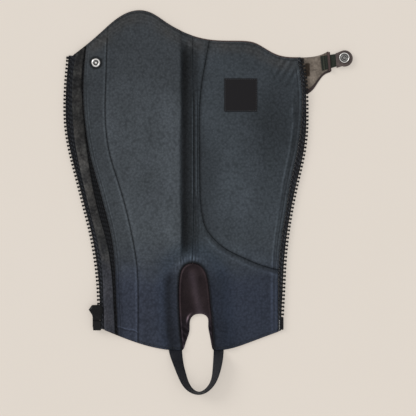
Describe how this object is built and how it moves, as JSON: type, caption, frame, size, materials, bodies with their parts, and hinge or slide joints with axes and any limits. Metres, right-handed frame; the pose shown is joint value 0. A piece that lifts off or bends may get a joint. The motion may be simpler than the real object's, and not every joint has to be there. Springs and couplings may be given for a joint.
{
  "type": "half chap",
  "caption": "Leather half chap laid open with its lining up: bulged left panel, calf panel, arch for the foot, side zip, elastic foot strap and a closing tab with a snap.",
  "frame": {"origin": "middle of the bounding box, on the surface that the chap lies on", "axes": "+X across the leg towards the closing tab, +Y up the leg towards the knee, +Z away from the surface"},
  "size_m": [0.3764, 0.4993, 0.0185],
  "materials": {
    "outer_leather": "smooth dark brown leather",
    "instep_leather": "polished dark brown leather",
    "lining": "soft grained blue-grey lining",
    "suede": "dark olive-brown suede",
    "tab_suede": "grey-brown suede with dark cut edges",
    "tape": "black woven tape",
    "teeth": "moulded black plastic",
    "elastic": "ribbed black elastic",
    "green_elastic": "ribbed dark green elastic",
    "label": "plain black satin label",
    "steel": "bright plated steel"
  },
  "bodies": {
    "chap": {"outer_leather_left": "outer_leather", "outer_leather_right": "outer_leather", "instep_panel": "instep_leather", "lining_left": "lining", "lining_left_facing": "lining", "lining_ankle": "lining", "lining_calf": "lining", "label": "label", "zip_guard": "suede", "zip_tape_left": "tape", "zip_tape_right": "tape", "zip_teeth_left": "teeth", "zip_teeth_right": "teeth", "top_stop_left": "teeth", "top_stop_right": "teeth", "zip_slider": "teeth", "zip_box": "teeth", "zip_pin": "teeth", "foot_strap": "elastic", "tab_base": "tab_suede", "tab_bar": "tab_suede", "tab_end": "tab_suede", "tab_elastic": "green_elastic", "snap_socket": "steel", "snap_socket_cap": "steel", "snap_stud_cap": "steel", "snap_stud": "steel"},
    "zip_pull": {"zip_pull": "teeth"}
  },
  "joints": [
    {"name": "pull_swing", "type": "hinge", "parent": "chap", "child": "zip_pull", "pos_m": [-0.1464, -0.143, 0.00205], "axis": [1, 0, 0], "range_deg": [0, 180]}
  ]
}
